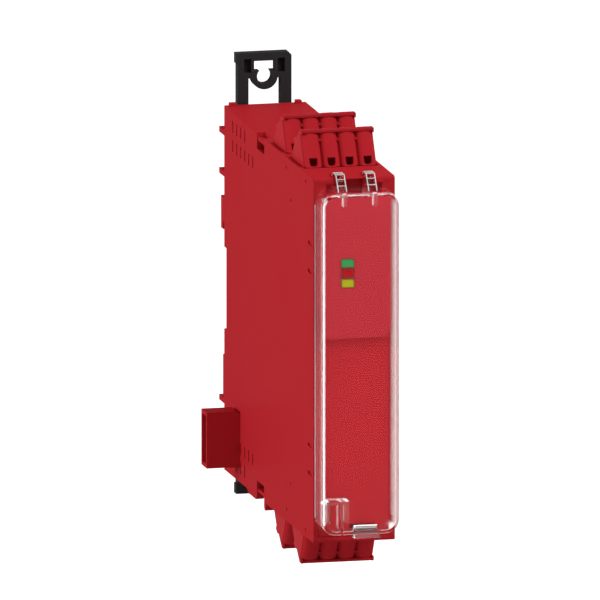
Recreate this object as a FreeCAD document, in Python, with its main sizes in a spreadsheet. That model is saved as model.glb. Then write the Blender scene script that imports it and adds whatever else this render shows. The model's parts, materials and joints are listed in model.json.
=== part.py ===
import FreeCAD, Part
import math
import os
import re
import Sketcher
from FreeCAD import Rotation, Vector

# A safety relay module, 22.5 mm wide, for a 35 mm top-hat rail.
# X runs across the module, Y from the front to the rail and Z up.
# The origin is where the rail's front face meets the module, in the middle of
# the rail's height. In the functions below a place is given from the middle of
# the width, from the front face and from the underside of the housing.

SIZES = {
    # housing
    "side_margin": 1.25,
    "housing_height": 100.0,
    "housing_depth": 105.5,
    "side_wall": 1.2,
    "shell_wall": 1.6,
    "lid_thickness": 1.5,
    "front_chamfer": 0.5,
    "panel_gap": 0.1,
    # rail seat at the back
    "rail_height": 35.0,
    "rail_play": 0.3,
    "rail_slot": 1.2,
    "claw_grip": 1.7,
    "claw_height": 8.9,
    "claw_reach": 3.8,
    "relief_height": 22.5,
    "relief_depth": 2.5,
    "strap_reach": 6.0,
    "strap_thickness": 1.5,
    "outer_strap_inset": 6.8,
    "inner_strap_inset": 18.1,
    "guard_reach": 1.4,
    "guard_height": 11.5,
    "cheek_height": 0.8,
    "cheek_depth": 2.2,
    # screw-fixing tab and foot
    "tab_width": 14.9,
    "tab_thickness": 2.8,
    "tab_gap": 0.25,
    "tab_play": 0.35,
    "tab_head": 7.0,
    "tab_leg": 3.0,
    "tab_length": 34.5,
    "tab_lift": 14.0,
    "tab_corner": 0.9,
    "tab_lug": 0.4,
    "tab_lug_height": 2.8,
    "screw_hole": 4.2,
    "screw_ring": 7.3,
    "screw_hole_drop": 6.5,
    "keyhole_neck": 2.9,
    "keyhole_width": 5.8,
    "keyhole_height": 2.7,
    "tab_pocket_width": 2.0,
    "tab_pocket_height": 3.8,
    "tab_pocket_depth": 1.6,
    "foot_drop": 7.0,
    "guard_gap": 1.0,
    "foot_bar": 9.2,
    "catch_height": 2.5,
    "catch_step": 1.0,
    # pockets for the terminal blocks
    "pocket_depth": 11.0,
    "pocket_gap": 0.3,
    "pocket_floor": 1.2,
    # terminal blocks
    "terminal_pitch": 5.0,
    "terminal_count": 4,
    "row_pitch": 21.1,
    "block_front": 16.5,
    "block_height": 9.5,
    "block_thickness": 15.3,
    "block_sink": 10.4,
    "front_lean": 4.85,
    "column_top": 8.4,
    "column_width": 4.1,
    "column_bulge": 0.9,
    "lip_thickness": 0.9,
    "lip_overhang": 0.6,
    "lip_slot_width": 2.0,
    "lip_slot_depth": 0.7,
    "test_hole": 2.2,
    "test_hole_height": 2.6,
    "test_hole_depth": 3.0,
    "wire_hole": 3.0,
    "wire_hole_depth": 4.2,
    "wire_hole_place": 12.9,
    "release_width": 3.0,
    "release_thickness": 1.5,
    "release_depth": 2.6,
    "release_place": 9.2,
    "chamber_width": 3.8,
    "chamber_depth": 7.4,
    "chamber_height": 9.6,
    "chamber_place": 8.2,
    # contacts
    "pin_size": 1.0,
    "pin_gap": 0.1,
    "pin_height": 8.0,
    "header_base": 1.0,
    "contact_wall": 0.5,
    "contact_height": 7.2,
    "spring_thickness": 0.35,
    "spring_reach": 4.6,
    # front
    "plate_inset": 1.5,
    "plate_drop": 4.1,
    "plate_height": 39.7,
    "plate_thickness": 2.0,
    "plate_corner": 3.0,
    "window_width": 3.2,
    "window_height": 2.0,
    "window_left": -3.9,
    "window_drop": 21.7,
    "window_pitch": 2.75,
    "pipe_play": 0.05,
    "pipe_proud": 0.2,
    "recess_width": 5.3,
    "recess_height": 5.4,
    "recess_depth": 3.0,
    "recess_lip": 0.4,
    # clear cover
    "cover_inset": 0.2,
    "cover_bottom": 3.0,
    "cover_drop": 2.6,
    "cover_depth": 8.3,
    "cover_gap": 0.3,
    "cover_wall": 0.9,
    "cover_corner": 4.2,
    "cover_edge": 1.4,
    "cover_draft": 3.0,
    "arm_width": 2.5,
    "arm_inside": 2.95,
    "arm_thickness": 1.1,
    "arm_rise": 1.2,
    "arm_lean": 1.0,
    "arm_swing": 3.7,
    "hinge_setback": 2.8,
    "hinge_drop": 1.5,
    "hinge_pin": 1.8,
    "hinge_knuckle": 2.6,
    "hinge_play": 0.06,
    "hinge_stub": 1.2,
    "hinge_land": 2.55,
    "hinge_wall": 1.6,
    "loop_width": 6.2,
    "loop_left": -9.3,
    "loop_bottom": 6.6,
    "loop_height": 6.0,
    "loop_wall": 0.9,
    "grip_left": -1.8,
    "grip_width": 6.3,
    "grip_height": 2.3,
    "latch_width": 7.0,
    "latch_drop": 1.2,
    # vents
    "vent_width": 0.9,
    "vent_height": 3.1,
    "vent_pitch": 4.7,
    "vent_setback": 10.5,
    "vent_outer_inset": 2.4,
    "vent_inner_inset": 7.7,
    # details of the side walls
    "notch_front": 58.2,
    "notch_length": 8.6,
    "notch_height": 4.4,
    "notch_depth": 2.3,
    "notch_bar_inset": 0.3,
    "notch_bar_drop": 1.3,
    "notch_bar_height": 0.9,
    "peg_width": 2.2,
    "peg_drop": 3.0,
    "peg_inset": 1.2,
    "peg_chamfer": 0.6,
    "dimple_width": 0.9,
    "dimple_depth": 0.4,
    # extension connector
    "link_reach": 9.2,
    "link_setback": 18.7,
    "link_thickness": 6.5,
    "link_bottom": 4.2,
    "link_height": 15.3,
    "link_inside": 4.0,
    "socket_gap": 0.3,
    "socket_depth": 9.7,
    "socket_wall": 1.0,
    # inside
    "board_thickness": 1.6,
    "board_gap": 0.7,
    "board_place": -9.85,
    "relay_width": 12.8,
    "relay_length": 28.0,
    "relay_depth": 22.0,
    "relay_setback": 45.5,
    "relay_gap": 12.0,
    "coil_size": 16.0,
    "coil_front": 26.0,
    "capacitor_width": 10.0,
    "capacitor_length": 12.5,
}

document = FreeCAD.newDocument("safety_relay")
sheet = document.addObject("Spreadsheet::Sheet", "Sizes")
for row, (size_name, size) in enumerate(SIZES.items(), start=1):
    sheet.set(f"A{row}", size_name)
    sheet.set(f"B{row}", str(size))
    sheet.setAlias(f"B{row}", size_name)
document.recompute()

# Sizes that follow from others.
DERIVED = {
    "module_width": "(terminal_count * terminal_pitch + 2 * side_margin)",
    "rail_centre": "(housing_height / 2)",
    "cover_width": "(module_width - 2 * cover_inset)",
    "cover_top": "(housing_height - cover_drop)",
    "plate_width": "(module_width - 2 * plate_inset)",
    "plate_top": "(housing_height - plate_drop)",
    "plate_bottom": "(plate_top - plate_height)",
    "window_middle": "(plate_top - window_drop)",
    "link_front": "(housing_depth - link_setback)",
    "relay_front": "(housing_depth - relay_setback)",
}
subparts = {}
LEFT = "-module_width / 2"
RIGHT = "module_width / 2"
SIDE_VIEW = Rotation(Vector(0, 1, 0), Vector(0, 0, 1), Vector(1, 0, 0), "XYZ")
FRONT_VIEW = Rotation(Vector(1, 0, 0), Vector(0, 0, 1), Vector(0, -1, 0), "XYZ")


def bound(expression):
    """An expression whose size names are looked up in the spreadsheet."""
    def looked_up(word):
        name = word[0]
        if name in DERIVED:
            return bound(DERIVED[name])
        return "Sizes." + name if name in SIZES else name
    return re.sub(r"[a-z_]{3,}", looked_up, expression)


def number(expression):
    """The present value of an expression in size names."""
    return float(sheet.evalExpression(bound(expression)))


def bind(thing, prop, expression):
    thing.setExpression(prop, bound(expression))


def put(thing, across, along, up, turn=None):
    """Bind a thing's place: from the middle, from the front face and from the underside."""
    if turn is not None:
        thing.Placement.Rotation = turn
    bind(thing, ".Placement.Base.x", across)
    bind(thing, ".Placement.Base.y", f"({along}) - housing_depth")
    bind(thing, ".Placement.Base.z", f"({up}) - rail_centre")


def box(name, across, along, up):
    """A block between pairs of expressions."""
    block = document.addObject("Part::Box", name)
    put(block, across[0], along[0], up[0])
    bind(block, "Length", f"({across[1]}) - ({across[0]})")
    bind(block, "Width", f"({along[1]}) - ({along[0]})")
    bind(block, "Height", f"({up[1]}) - ({up[0]})")
    return block


def rod(name, centre, radius, length, turn=None):
    """A cylinder from its centre point along Z, or along the way it is turned."""
    cylinder = document.addObject("Part::Cylinder", name)
    put(cylinder, *centre, turn)
    bind(cylinder, "Radius", radius)
    bind(cylinder, "Height", length)
    return cylinder


ALONG_X = Rotation(Vector(0, 1, 0), 90)
ALONG_Y = Rotation(Vector(1, 0, 0), -90)


def cut(name, base, tools):
    """The base less every tool."""
    tool = tools[0] if len(tools) == 1 else fuse(name + "_tools", tools)
    result = document.addObject("Part::Cut", name)
    result.Base, result.Tool = base, tool
    return result


def fuse(name, parts):
    result = document.addObject("Part::MultiFuse", name)
    result.Shapes = parts
    result.Refine = True
    return result


def group(name, parts):
    """Separate solids that share one node."""
    result = document.addObject("Part::Compound", name)
    result.Links = parts
    return result


def mirrored(name, source, axis):
    """A copy mirrored through the rail's centre height or the middle of the width."""
    result = document.addObject("Part::Mirroring", name)
    result.Source = source
    result.Normal = axis
    return result


def outline(name, points, holder=document):
    """A sketch of a closed outline with every corner bound to a pair of expressions."""
    sketch = holder.addObject("Sketcher::SketchObject", name) if holder is document \
        else holder.newObject("Sketcher::SketchObject", name)
    corners = [Vector(number(a), number(b), 0) for a, b in points]
    last = len(corners)
    for index in range(last):
        sketch.addGeometry(Part.LineSegment(corners[index], corners[(index + 1) % last]))
    for index in range(last):
        sketch.addConstraint(Sketcher.Constraint("Coincident", index, 2, (index + 1) % last, 1))
    for index, (a, b) in enumerate(points):
        for kind, place, expression in (("DistanceX", corners[index].x, a), ("DistanceY", corners[index].y, b)):
            constraint = sketch.addConstraint(Sketcher.Constraint(kind, -1, 1, index, 1, place))
            bind(sketch, f"Constraints[{constraint}]", expression)
    return sketch


def rounded_outline(name, across, up, radius, holder):
    """A sketch of a rectangle whose corners are arcs tangent to its sides."""
    sketch = holder.newObject("Sketcher::SketchObject", name)
    size = number(radius)
    centres = []
    for x_edge, x_way, y_edge, y_way in ((across[0], "+", up[0], "+"), (across[1], "-", up[0], "+"),
                                         (across[1], "-", up[1], "-"), (across[0], "+", up[1], "-")):
        centres.append((f"({x_edge}) {x_way} ({radius})", f"({y_edge}) {y_way} ({radius})"))
    for index, (x, y) in enumerate(centres):
        circle = Part.Circle(Vector(number(x), number(y), 0), Vector(0, 0, 1), size)
        start = math.pi + index * math.pi / 2
        sketch.addGeometry(Part.ArcOfCircle(circle, start, start + math.pi / 2))
    for index in range(4):
        start = sketch.Geometry[index].EndPoint
        end = sketch.Geometry[(index + 1) % 4].StartPoint
        sketch.addGeometry(Part.LineSegment(start, end))
    for index in range(4):
        sketch.addConstraint(Sketcher.Constraint("Tangent", index, 2, index + 4, 1))
        sketch.addConstraint(Sketcher.Constraint("Tangent", index + 4, 2, (index + 1) % 4, 1))
    for index, (x, y) in enumerate(centres):
        for kind, expression in (("DistanceX", x), ("DistanceY", y)):
            constraint = sketch.addConstraint(Sketcher.Constraint(kind, -1, 1, index, 3, number(expression)))
            bind(sketch, f"Constraints[{constraint}]", expression)
        constraint = sketch.addConstraint(Sketcher.Constraint("Radius", index, size))
        bind(sketch, f"Constraints[{constraint}]", radius)
    return sketch


def ring(name, centre, radius, holder):
    """A sketch of one circle."""
    sketch = holder.newObject("Sketcher::SketchObject", name)
    middle = Vector(number(centre[0]), number(centre[1]), 0)
    sketch.addGeometry(Part.Circle(middle, Vector(0, 0, 1), number(radius)))
    constraints = (("DistanceX", middle.x, centre[0]), ("DistanceY", middle.y, centre[1]))
    for kind, place, expression in constraints:
        constraint = sketch.addConstraint(Sketcher.Constraint(kind, -1, 1, 0, 3, place))
        bind(sketch, f"Constraints[{constraint}]", expression)
    constraint = sketch.addConstraint(Sketcher.Constraint("Radius", 0, number(radius)))
    bind(sketch, f"Constraints[{constraint}]", radius)
    return sketch


def side_profile(name, points, across):
    """A side outline, in depth and height, drawn out across the module."""
    sketch = outline(name + "_outline", points)
    put(sketch, across[0], "0", "0", SIDE_VIEW)
    solid = document.addObject("Part::Extrusion", name)
    solid.Base = sketch
    solid.DirMode = "Normal"
    solid.Solid = True
    bind(solid, "LengthFwd", f"({across[1]}) - ({across[0]})")
    return solid


def design(name, across, along, up, turn):
    """An empty PartDesign body at its place."""
    body = document.addObject("PartDesign::Body", name)
    put(body, across, along, up, turn)
    return body


def lay(sketch, body, lift="0"):
    """Attach a sketch to its body's own XY plane, lifted along the plane's normal."""
    plane = [feature for feature in body.Origin.OriginFeatures if feature.Role == "XY_Plane"][0]
    sketch.AttachmentSupport = [(plane, "")]
    sketch.MapMode = "FlatFace"
    bind(sketch, ".AttachmentOffset.Base.z", lift)
    return sketch


def pad(body, name, sketch, length):
    feature = body.newObject("PartDesign::Pad", name)
    feature.Profile = sketch
    bind(feature, "Length", length)
    sketch.Visibility = False
    return feature


def pocket(body, name, sketch, length):
    """Cut away from the sketch, against its normal."""
    feature = body.newObject("PartDesign::Pocket", name)
    feature.Profile = sketch
    bind(feature, "Length", length)
    return feature


def round_edges(body, name, base, radius, chosen):
    """Fillet the edges of the base feature that the test picks."""
    document.recompute()
    edges = [f"Edge{index}" for index, edge in enumerate(base.Shape.Edges, start=1) if chosen(edge)]
    feature = body.newObject("PartDesign::Fillet", name)
    feature.Base = (base, edges)
    bind(feature, "Radius", radius)
    return feature


def finished(name, result):
    """Give a sub-part its name."""
    result.Label = name
    subparts[name] = result
    return result


def upright(edge):
    """Whether an edge runs along its body's Z."""
    ends = [point.Point for point in edge.Vertexes]
    return len(ends) == 2 and abs(ends[0].x - ends[1].x) + abs(ends[0].y - ends[1].y) < 0.001


def rectangle(left, right, low, high):
    """The four corners of a rectangle."""
    return [(left, low), (right, low), (right, high), (left, high)]


def at_both_ends(name, across, along, up):
    """A block near the top of the housing, and its mirror image near the bottom."""
    low = [f"housing_height - ({height})" for height in reversed(up)]
    return [box(name + "_high", across, along, up), box(name + "_low", across, along, low)]


# ---- the hollows that several pieces share ----

LID_INSIDE = "module_width / 2 - lid_thickness"
POCKET_HALF = "terminal_count * terminal_pitch / 2 + pocket_gap"
POCKET_FRONT = "(block_front - column_bulge - pocket_gap)"
POCKET_REAR = "(block_front + row_pitch + block_thickness + pocket_gap)"
ROWS = (("front", "0"), ("rear", "row_pitch"))
PANEL_HALF = "module_width / 2 - side_wall - panel_gap"
TAB_SPACE = "tab_width / 2 + tab_lug + tab_play"
TAB_REAR = "housing_depth + tab_gap + tab_thickness"
HINGE_HEIGHT = "housing_height - hinge_drop"
HINGE_UNDERSIDE = "housing_height - recess_height - 1"
ARM_OUTSIDE = "arm_inside + arm_width"
TERMINALS = round(number("terminal_count"))


def pocket_spaces(name):
    """The four wells that hold the terminal blocks, two at each end."""
    spaces = []
    for row, shift in ROWS:
        spaces += at_both_ends(f"{name}_{row}", [f"-({POCKET_HALF})", POCKET_HALF],
                               [f"{POCKET_FRONT} + {shift}", f"{POCKET_REAR} - row_pitch + {shift}"],
                               ["housing_height - pocket_depth", "housing_height + 1"])
    return spaces


def pin_ways(name):
    """The holes in the wells' floors that the header pins come up through."""
    ways = []
    half = "(pin_size / 2 + pin_gap)"
    for row, shift in ROWS:
        place = f"block_front + {shift} + chamber_place"
        for index in range(TERMINALS):
            middle = f"({index} - (terminal_count - 1) / 2) * terminal_pitch"
            ways += at_both_ends(f"{name}_pin_{row}_{index}", [f"{middle} - {half}", f"{middle} + {half}"],
                                 [f"{place} - {half}", f"{place} + {half}"],
                                 ["housing_height - pocket_depth - pocket_floor - 1",
                                  "housing_height - pocket_depth + 1"])
    return ways


def vent_slots(name, across):
    """Two rows of upright slots at each end of a side wall."""
    slots = []
    for row, count, inset in (("outer", 4, "vent_outer_inset"), ("inner", 6, "vent_inner_inset")):
        for index in range(count):
            along = f"(housing_depth - vent_setback) - {index} * vent_pitch"
            top = f"housing_height - {inset}"
            slots += at_both_ends(f"{name}_{row}_{index}", across, [along, f"{along} + vent_width"],
                                  [f"{top} - vent_height", top])
    return slots


def hinge_holes(name):
    """The two blind holes that the cover's hinge pins turn in."""
    holes = []
    for side, start in (("left", f"-({ARM_OUTSIDE}) - hinge_stub - 0.3"), ("right", f"{ARM_OUTSIDE} - 0.3")):
        holes.append(rod(f"{name}_{side}", (start, "hinge_setback", HINGE_HEIGHT),
                         "hinge_pin / 2 + hinge_play", "hinge_stub + 0.6", ALONG_X))
    return holes


def arm_slots(name):
    """The two slots in the top front edge that the cover's hinge arms dip into."""
    slots = []
    low = f"{HINGE_HEIGHT} - hinge_knuckle / 2 - 0.3"
    for side, across in (("left", [f"-({ARM_OUTSIDE}) - 0.25", "-arm_inside + 0.25"]),
                         ("right", ["arm_inside - 0.25", f"{ARM_OUTSIDE} + 0.25"])):
        slots.append(box(f"{name}_{side}", across, ["-1", "hinge_setback + arm_swing"],
                         [low, "housing_height + 1"]))
    return slots


# ---- housing ----

def side_outline():
    """The housing from the side, with its front edges chamfered and the shallow relief for the rail."""
    seat = "housing_depth"
    relief = "housing_depth - relief_depth"
    low = "rail_centre - relief_height / 2"
    high = "rail_centre + relief_height / 2"
    return [("0", "front_chamfer"), ("front_chamfer", "0"), (seat, "0"), (seat, low), (relief, low),
            (relief, high), (seat, high), (seat, "housing_height"), ("front_chamfer", "housing_height"),
            ("0", "housing_height - front_chamfer")]


def make_main_shell():
    """Left wall, top, bottom and back in one moulding, with the rail claw and rear guides."""
    seat = "housing_depth"
    outer = side_outline()
    inner_rear = "housing_depth - relief_depth - shell_wall"
    before = f"{POCKET_FRONT} - pocket_floor"
    behind = f"{POCKET_REAR} + pocket_floor"
    low = "pocket_depth + pocket_floor"
    high = "housing_height - pocket_depth - pocket_floor"
    roof = "housing_height - shell_wall"
    inner = [("-1", "shell_wall"), (before, "shell_wall"), (before, low), (behind, low), (behind, "shell_wall"),
             (inner_rear, "shell_wall"), (inner_rear, roof), (behind, roof), (behind, high), (before, high),
             (before, roof), ("-1", roof)]
    across = [LEFT, LID_INSIDE]
    body = side_profile("shell_block", outer, across)
    hollow = side_profile("shell_hollow", inner, ["-module_width / 2 + side_wall", "module_width / 2"])

    claw_low = "rail_centre + rail_height / 2 - claw_grip"
    claw_back = "housing_depth + claw_reach"
    claw_top = f"{claw_low} + claw_height"
    slot_top = f"{claw_low} + claw_grip + rail_play"
    claw_outline = [(f"{seat} - shell_wall", claw_low), (seat, claw_low), (seat, slot_top),
                    (f"{seat} + rail_slot", slot_top), (f"{seat} + rail_slot", claw_low),
                    (claw_back, claw_low), (claw_back, claw_top), (f"{seat} - shell_wall", claw_top)]
    claw = side_profile("claw", claw_outline, across)
    added = [claw]
    for name, inset in (("outer_strap", "outer_strap_inset"), ("inner_strap", "inner_strap_inset")):
        added += at_both_ends(name, across, [f"{seat} - shell_wall", f"{seat} + strap_reach"],
                              [f"housing_height - {inset} - strap_thickness", f"housing_height - {inset}"])
    guard_top = "rail_centre - rail_height / 2 - guard_gap"
    added.append(box("foot_guard", across, [f"{seat} - shell_wall", f"{seat} + guard_reach"],
                     [f"{guard_top} - guard_height", guard_top]))
    for name, cheek in (("left_cheek", [f"{LEFT} + side_wall", f"-({TAB_SPACE})"]),
                        ("right_cheek", [TAB_SPACE, LID_INSIDE])):
        added += at_both_ends(name, cheek, [f"{seat} - cheek_depth", seat],
                              ["housing_height - shell_wall", "housing_height + cheek_height"])
    hinge_block = box("hinge_block", [f"-({ARM_OUTSIDE}) - hinge_land", f"{ARM_OUTSIDE} + hinge_land"],
                      ["shell_wall + panel_gap", "hinge_setback + arm_swing + hinge_wall"],
                      [HINGE_UNDERSIDE, "housing_height - shell_wall / 2"])
    peg_middle = "notch_front + notch_length / 2"
    peg_front = f"{peg_middle} - peg_width / 2"
    peg_rear = f"{peg_middle} + peg_width / 2"
    peg = side_profile("peg", [(peg_front, "notch_height + shell_wall"), (peg_front, "-peg_drop + peg_chamfer"),
                               (f"{peg_front} + peg_chamfer", "-peg_drop"), (f"{peg_rear} - peg_chamfer", "-peg_drop"),
                               (peg_rear, "-peg_drop + peg_chamfer"), (peg_rear, "notch_height + shell_wall")],
                       [f"{LEFT} + peg_inset", f"{LEFT} + peg_inset + peg_width"])

    tab_way = box("tab_way", [f"-({TAB_SPACE})", TAB_SPACE], [seat, f"{TAB_REAR} + tab_play"],
                  ["-cheek_height - 1", "housing_height + cheek_height + 1"])
    between_legs = "tab_width / 2 - tab_leg - tab_play"
    centre_claw = box("centre_claw_space", [f"-({between_legs})", between_legs], [seat, claw_back],
                      [claw_low, claw_top])
    claw_leg_way = box("claw_leg_way", [f"-({TAB_SPACE})", TAB_SPACE], [seat, f"{claw_back} + 1"],
                       [f"{claw_low} - 1", f"{claw_top} + 1"])
    centre_claw_kept = document.addObject("Part::Common", "centre_claw")
    centre_claw_kept.Base, centre_claw_kept.Tool = claw, centre_claw

    notches = at_both_ends("edge_notch", [f"{LEFT} - 1", f"{LEFT} + notch_depth"],
                           ["notch_front", "notch_front + notch_length"],
                           ["housing_height - notch_height", "housing_height + 1"])
    notch_bars = at_both_ends("notch_bar", [f"{LEFT} + notch_bar_inset", f"{LEFT} + notch_depth + 0.5"],
                              ["notch_front - 0.5", "notch_front + notch_length + 0.5"],
                              ["housing_height - notch_bar_drop - notch_bar_height",
                               "housing_height - notch_bar_drop"])
    link_window = box("link_window", [f"{LEFT} - 1", f"{LEFT} + side_wall + 1"],
                      ["link_front", "link_front + link_thickness"], ["link_bottom", "link_bottom + link_height"])
    front_recess = box("front_recess", ["-recess_width / 2", "recess_width / 2"],
                       ["-1", "recess_depth"], ["housing_height - recess_height", "housing_height - recess_lip"])
    hollow_kept = cut("hollow_less_hinge", hollow, [hinge_block])
    taken = [hollow_kept, front_recess, link_window] + pocket_spaces("well") + notches
    taken += pin_ways("floor")
    taken += vent_slots("vent", [f"{LEFT} - 1", f"{LEFT} + side_wall + 1"])
    taken += hinge_holes("hinge_hole") + arm_slots("arm_slot") + wall_marks("mark", LEFT)
    base = cut("shell_walls", fuse("shell_with_back", [body] + added), [tab_way, claw_leg_way])
    shell = cut("shell_opened", base, taken)
    whole = fuse("main_shell", [shell, centre_claw_kept, peg] + notch_bars)
    return finished("main_shell", whole)


def wall_marks(name, face):
    """Ejector dimples and the snap windows of the front panel, sunk in a side wall's face."""
    marks = []
    start = f"{face} - dimple_depth"
    for index, (along, up) in enumerate((("32.5", "97"), ("9.4", "97.7"), ("27", "89"), ("27", "11.2"),
                                         ("31.8", "3.3"), ("9.4", "2.0"))):
        marks.append(rod(f"{name}_dimple_{index}", (start, along, up), "dimple_width / 2",
                         "2 * dimple_depth", ALONG_X))
    for index, up in enumerate(("81.6", "73.9", "26.1", "18.4")):
        marks.append(box(f"{name}_snap_{index}", [start, f"{face} + dimple_depth"], ["2.2", "6.6"],
                         [f"{up} - 0.5", f"{up} + 0.5"]))
    return marks


def make_side_cover():
    """The flat right wall that closes the shell, with a window for the next module's connector."""
    plate = side_profile("side_plate", side_outline(), [LID_INSIDE, RIGHT])
    window = box("side_window", [f"{LID_INSIDE} - 1", f"{RIGHT} + 1"],
                 ["link_front - socket_gap", "link_front + link_thickness + socket_gap"],
                 ["link_bottom - socket_gap", "link_bottom + link_height + socket_gap"])
    slots = vent_slots("side_vent", [f"{LID_INSIDE} - 1", f"{RIGHT} + 1"])
    slots = [slot for slot in slots if slot.Name.endswith("_high")]
    marks = wall_marks("side_mark", RIGHT)
    return finished("side_cover", cut("side_cover", plate, [window] + pocket_spaces("side_well")
                                      + slots + marks))


def make_front_panel():
    """The inset front wall, with hooks for the side walls' snap windows and the light windows."""
    wall = box("panel_wall", [f"-({PANEL_HALF})", "module_width / 2 - lid_thickness - panel_gap"],
               ["0", "shell_wall"],
               ["shell_wall + panel_gap", f"{HINGE_UNDERSIDE} - panel_gap"])
    rims = []
    for name, across in (("left", [f"-({PANEL_HALF})", f"-({PANEL_HALF}) + 1"]),
                         ("right", ["module_width / 2 - lid_thickness - panel_gap - 1",
                                    "module_width / 2 - lid_thickness - panel_gap"])):
        rims.append(box(f"panel_rim_{name}", across, ["0", "8"], ["shell_wall + 12", "housing_height - 14"]))
    latch_slot = box("latch_slot", ["grip_left + 0.6", "grip_left + 0.6 + latch_width"], ["-1", "shell_wall + 1"],
                     ["cover_bottom + 0.2", "cover_bottom + 1.8"])
    return finished("front_panel", cut("front_panel", fuse("panel_with_rims", [wall] + rims),
                                       [latch_slot] + pipe_ways("panel")))


def pipe_ways(name):
    """The three window openings."""
    ways = []
    for index in (-1, 0, 1):
        middle = f"window_middle + {index} * window_pitch"
        ways.append(box(f"{name}_window_{index + 1}",
                        ["window_left - pipe_play", "window_left + window_width + pipe_play"],
                        ["-plate_thickness - 1", "shell_wall + 1"],
                        [f"{middle} - window_height / 2 - pipe_play", f"{middle} + window_height / 2 + pipe_play"]))
    return ways


def make_label_plate():
    """The raised plate behind the clear cover, with rounded corners."""
    body = design("plate_body", "0", "0", "0", FRONT_VIEW)
    edge = rectangle("-plate_width / 2", "plate_width / 2", "plate_bottom", "plate_top")
    slab = pad(body, "plate_slab", lay(outline("plate_edge", edge, body), body), "plate_thickness")
    rounded = round_edges(body, "plate_corners", slab, "plate_corner", upright)
    for index in (-1, 0, 1):
        middle = f"window_middle + {index} * window_pitch"
        window = rectangle("window_left - pipe_play", "window_left + window_width + pipe_play",
                           f"{middle} - window_height / 2 - pipe_play", f"{middle} + window_height / 2 + pipe_play")
        sketch = lay(outline(f"plate_window_{index + 1}", window, body), body, "plate_thickness")
        rounded = pocket(body, f"plate_way_{index + 1}", sketch, "plate_thickness + 1")
    return finished("label_plate", body)


def make_light_pipes():
    """Clear rods that bring each indicator lamp to its window."""
    for name, index in (("light_pipe_green", 1), ("light_pipe_red", 0), ("light_pipe_yellow", -1)):
        middle = f"window_middle + {index} * window_pitch"
        stem = box(name + "_stem", ["window_left", "window_left + window_width"],
                   ["-plate_thickness - pipe_proud", "6"],
                   [f"{middle} - window_height / 2", f"{middle} + window_height / 2"])
        collar = box(name + "_collar", ["window_left - 0.5", "window_left + window_width + 0.5"],
                     ["shell_wall + 0.1", "shell_wall + 1.1"],
                     [f"{middle} - window_height / 2 - 0.2", f"{middle} + window_height / 2 + 0.2"])
        finished(name, fuse(name, [stem, collar]))


# ---- rear tab and foot ----

def make_tab(name, rise, turn_over):
    """A forked slide whose head holds the keyhole. It stands above the housing, or hangs below it."""
    head_top = f"housing_height + {rise}" if not turn_over else f"-{rise}"
    way = -1 if turn_over else 1

    def height(drop):
        return f"{head_top} - {way} * ({drop})"

    def flipped(points):
        return points if not turn_over else points[::-1]
    body = design(name + "_body", "0", TAB_REAR, "0", FRONT_VIEW)
    half = "tab_width / 2"
    inner = "tab_width / 2 - tab_leg"
    fork = [(f"-{half}", height("tab_length")), (f"-{half} + tab_leg", height("tab_length")),
            (f"-{half} + tab_leg", height("tab_head")), (inner, height("tab_head")),
            (inner, height("tab_length")), (half, height("tab_length")), (half, height("tab_corner")),
            (f"{half} - tab_corner", height("0")), (f"-{half} - tab_lug", height("0")),
            (f"-{half} - tab_lug", height("tab_lug_height")), (f"-{half}", height("tab_lug_height"))]
    pad(body, name + "_fork", lay(outline(name + "_fork_edge", flipped(fork), body), body), "tab_thickness")
    centre = ("0", height("screw_hole_drop"))
    pad(body, name + "_ring", lay(ring(name + "_ring_edge", centre, "screw_ring / 2", body), body), "tab_thickness")
    if turn_over:
        bar = rectangle(f"-{half}", half, height("tab_length"), height("tab_length - foot_bar"))
        pad(body, name + "_bar", lay(outline(name + "_bar_edge", bar, body), body), "tab_thickness")
        step = rectangle(f"-{half} - 1", f"{half} + 1", height("tab_length - catch_height"),
                         height("tab_length + 1"))
        sketch = lay(outline(name + "_catch_edge", step, body), body, "tab_thickness")
        pocket(body, name + "_catch", sketch, "catch_step")
    front = "tab_thickness"
    hole = lay(ring(name + "_hole_edge", centre, "screw_hole / 2", body), body, front)
    pocket(body, name + "_hole", hole, "tab_thickness + 1")
    neck = "sqrt(screw_hole ^ 2 - keyhole_neck ^ 2) / 2"
    slot = rectangle("-keyhole_width / 2", "keyhole_width / 2", height(f"screw_hole_drop - {neck}"),
                     height(f"screw_hole_drop - {neck} - keyhole_height"))
    pocket(body, name + "_keyhole", lay(outline(name + "_slot_edge", slot, body), body, front), "tab_thickness + 1")
    for side, middle in (("left", f"-({inner} + 0.2)"), ("right", f"{inner} + 0.2")):
        hollow = rectangle(f"{middle} - tab_pocket_width / 2", f"{middle} + tab_pocket_width / 2",
                           height("tab_lug_height - 1.1 + tab_pocket_height"), height("tab_lug_height - 1.1"))
        sketch = lay(outline(f"{name}_{side}_pocket_edge", hollow, body), body, front)
        pocket(body, f"{name}_{side}_pocket", sketch, "tab_pocket_depth")
    return finished(name, body)


# ---- clear cover ----

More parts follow.
